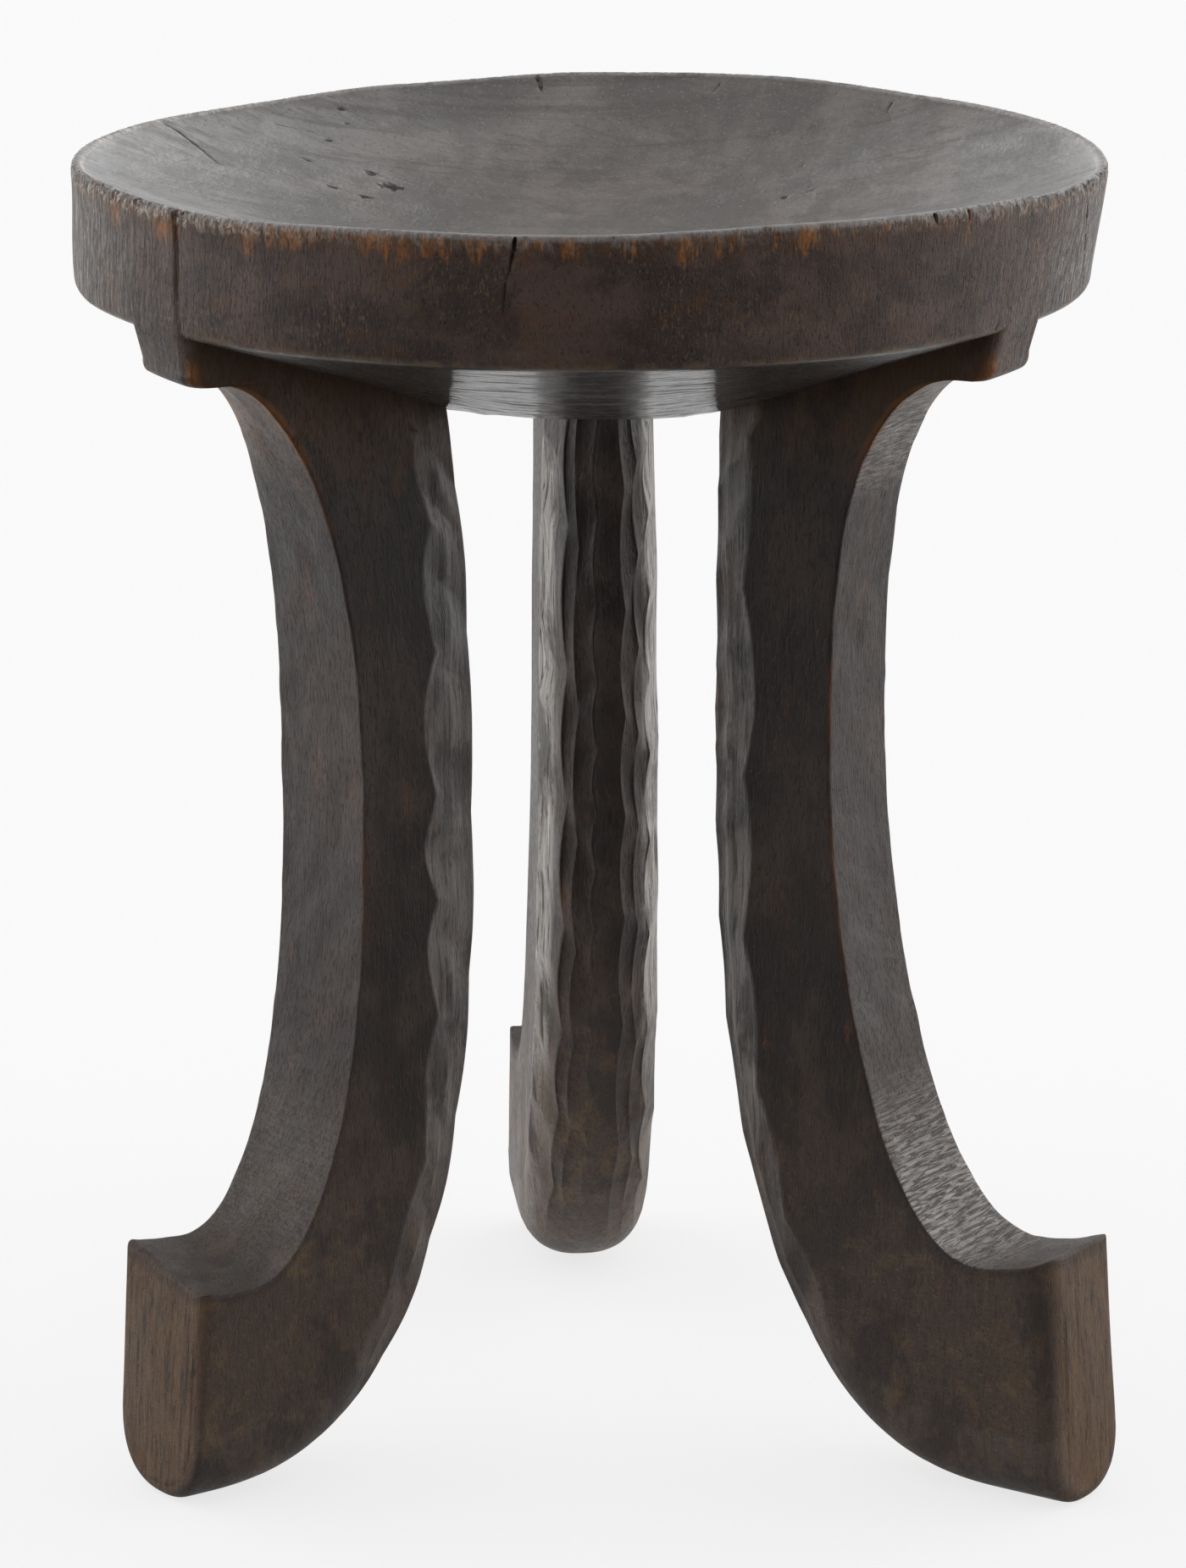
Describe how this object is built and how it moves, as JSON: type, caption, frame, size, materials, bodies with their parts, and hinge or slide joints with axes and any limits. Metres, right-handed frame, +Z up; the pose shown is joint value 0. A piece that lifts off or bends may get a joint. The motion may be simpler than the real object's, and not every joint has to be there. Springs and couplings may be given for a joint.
{
  "type": "carved wooden stool",
  "caption": "Carved wooden stool with a dished round seat on three curved legs that sweep out to heavy square-ended feet.",
  "frame": {"origin": "on the floor, under the middle of the whole stool's bounding box", "axes": "+Z up, -Y towards the side that the picture shows, +X to its right"},
  "size_m": [0.3352, 0.3493, 0.4215],
  "materials": {
    "seat_wood": "dark hardwood, worn smooth and satin in the dish, dry and fibrous on the rim",
    "leg_wood": "dark smoked hardwood with adze facets, low sheen, reddish wear on the edges"
  },
  "bodies": {
    "root": {"seat": "seat_wood", "leg_left": "leg_wood", "leg_right": "leg_wood", "leg_back": "leg_wood"}
  },
  "joints": []
}
